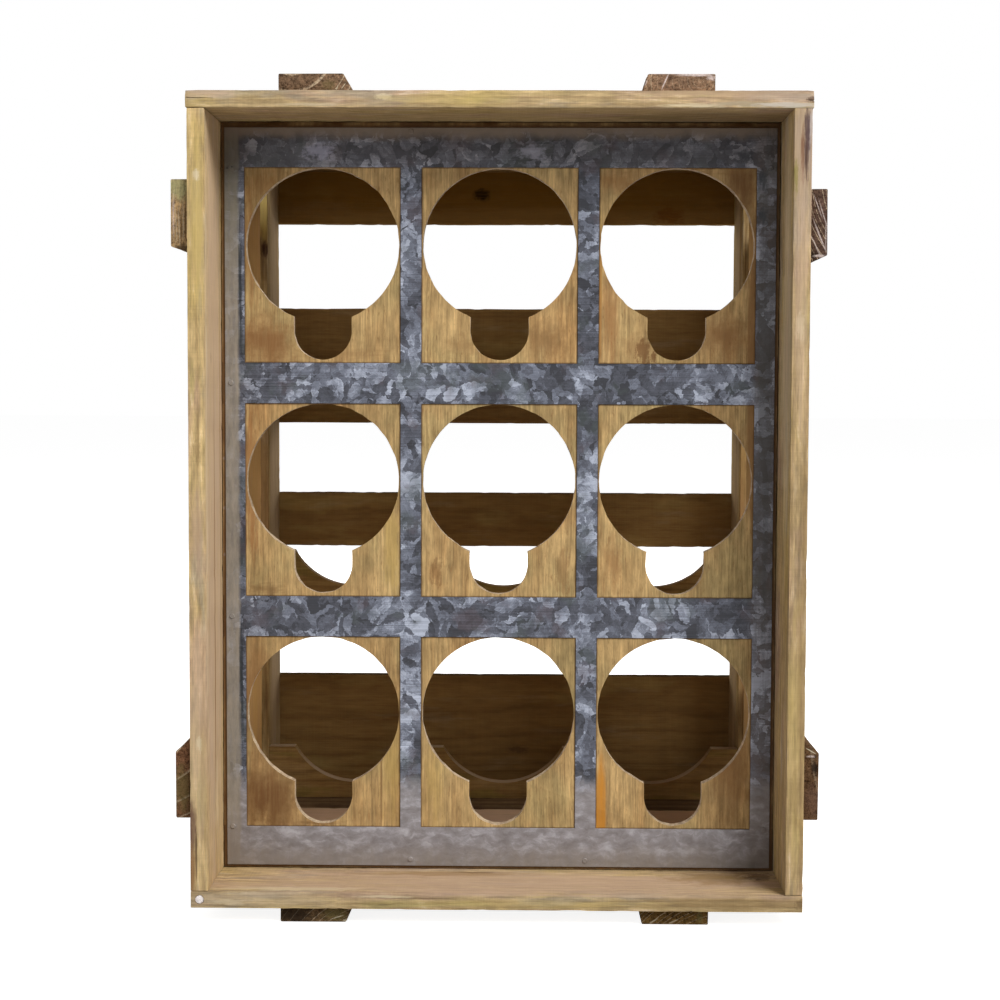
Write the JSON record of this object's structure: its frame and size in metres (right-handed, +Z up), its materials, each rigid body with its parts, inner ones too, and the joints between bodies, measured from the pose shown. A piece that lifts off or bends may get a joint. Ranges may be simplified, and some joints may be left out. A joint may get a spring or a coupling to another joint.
{
  "type": "wine crate",
  "caption": "Upright wooden wine crate with an open front, a keyhole plywood panel under a galvanised grid, cradle rails, slatted back and outer battens.",
  "frame": {"origin": "middle of the footprint, on the surface that the crate stands on", "axes": "+Z up, the open front faces -Y, +X to the right as seen from the front"},
  "size_m": [0.349, 0.3076, 0.4556],
  "materials": {
    "board_pine": "rough sawn pine, lightly stained and rubbed",
    "aged_pine": "rough sawn pine, darker",
    "cleat_pine": "sawn pine",
    "weathered_batten": "dark weathered pine",
    "plywood": "sanded plywood",
    "galvanised_steel": "galvanised with a coarse spangle",
    "nail_steel": "dull, lightly rusted"
  },
  "bodies": {
    "root": {"top_front_board": "board_pine", "top_rear_board": "board_pine", "floor_front_board": "board_pine", "floor_rear_board": "board_pine", "left_front_board": "board_pine", "left_rear_board": "board_pine", "right_front_board": "board_pine", "right_rear_board": "board_pine", "top_left_batten": "weathered_batten", "top_right_batten": "weathered_batten", "left_upper_batten": "weathered_batten", "left_lower_batten": "weathered_batten", "right_upper_batten": "weathered_batten", "right_lower_batten": "weathered_batten", "bottom_left_batten": "weathered_batten", "bottom_right_batten": "weathered_batten", "bottle_panel": "plywood", "galvanised_grid": "galvanised_steel", "left_cleat": "cleat_pine", "right_cleat": "cleat_pine", "top_cleat": "cleat_pine", "floor_cleat": "cleat_pine", "lower_cradle": "aged_pine", "middle_cradle": "aged_pine", "upper_cradle": "aged_pine", "back_slat_top": "aged_pine", "back_slat_high": "aged_pine", "back_slat_low": "aged_pine", "back_slat_bottom": "aged_pine", "corner_nails": "nail_steel", "batten_nails": "nail_steel", "slat_nails": "nail_steel", "cradle_nails": "nail_steel", "cleat_nails": "nail_steel", "grid_pins": "galvanised_steel", "front_edge_nail": "nail_steel"}
  },
  "joints": []
}
